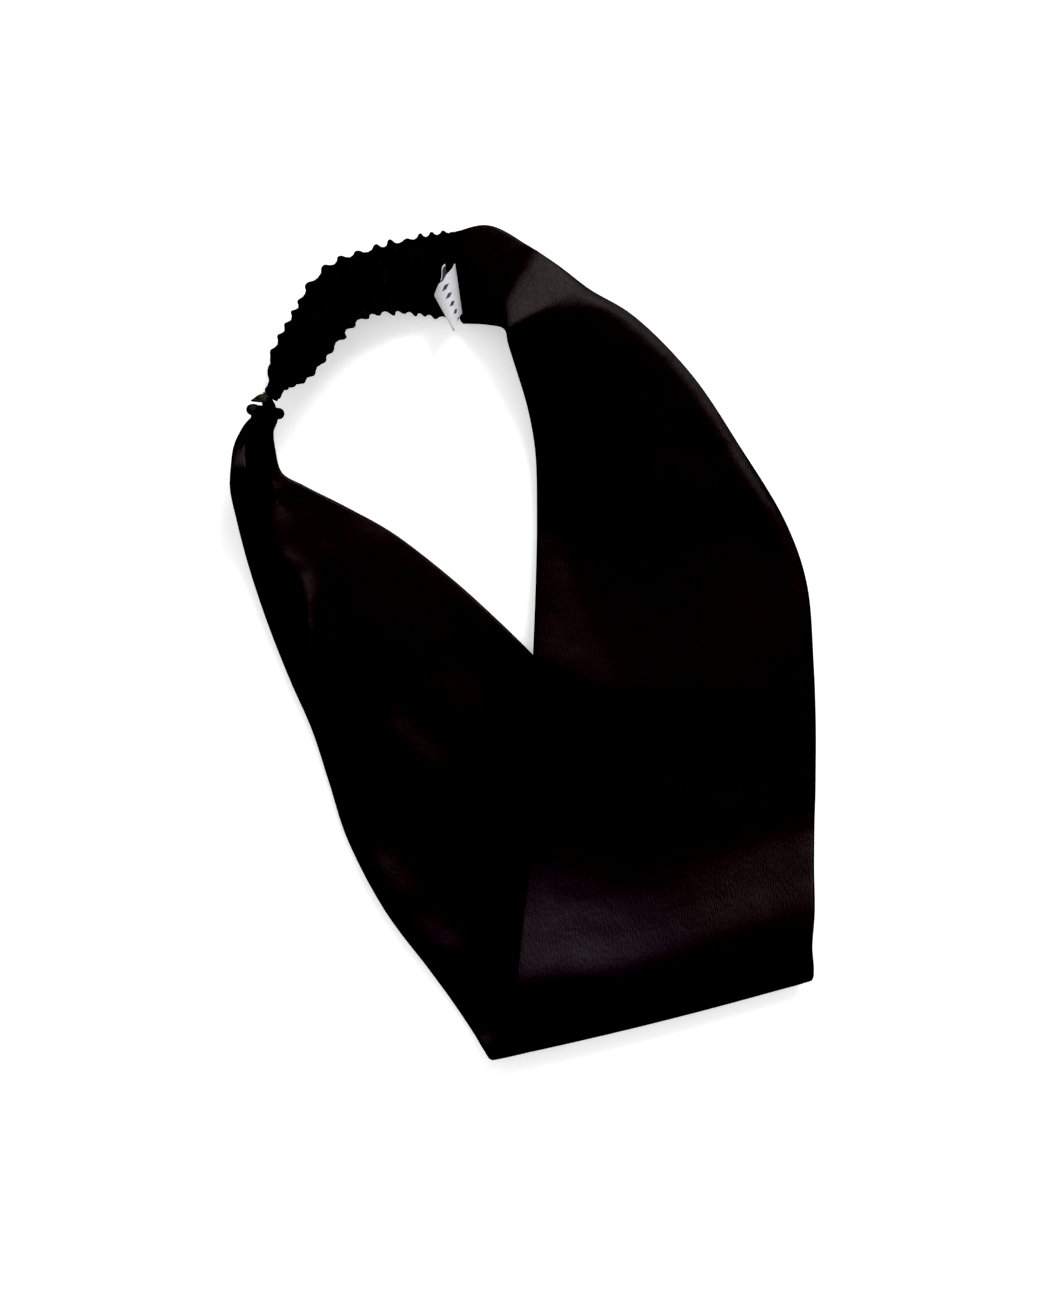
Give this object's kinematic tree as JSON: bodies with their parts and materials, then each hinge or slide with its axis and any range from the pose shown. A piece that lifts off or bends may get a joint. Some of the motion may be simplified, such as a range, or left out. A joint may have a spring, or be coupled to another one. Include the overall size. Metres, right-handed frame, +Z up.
{
  "type": "wide headband",
  "caption": "Wide black satin headband lying loose: a soft double-layer strip turned over on itself, closed by a short ruched elastic back.",
  "frame": {"origin": "on the surface that it lies on, under the middle of the whole headband", "axes": "+X across the band, from the left arm to the right arm, +Y from the turn towards the elastic back, +Z up"},
  "size_m": [0.1622, 0.2344, 0.021],
  "materials": {
    "satin": "satin",
    "casing": "satin",
    "seam": "matte",
    "ribbon": "matte"
  },
  "bodies": {
    "root": {"satin_band": "satin", "elastic_back": "casing", "label_seam": "seam", "pinch_seam": "seam", "label": "ribbon"}
  },
  "joints": []
}
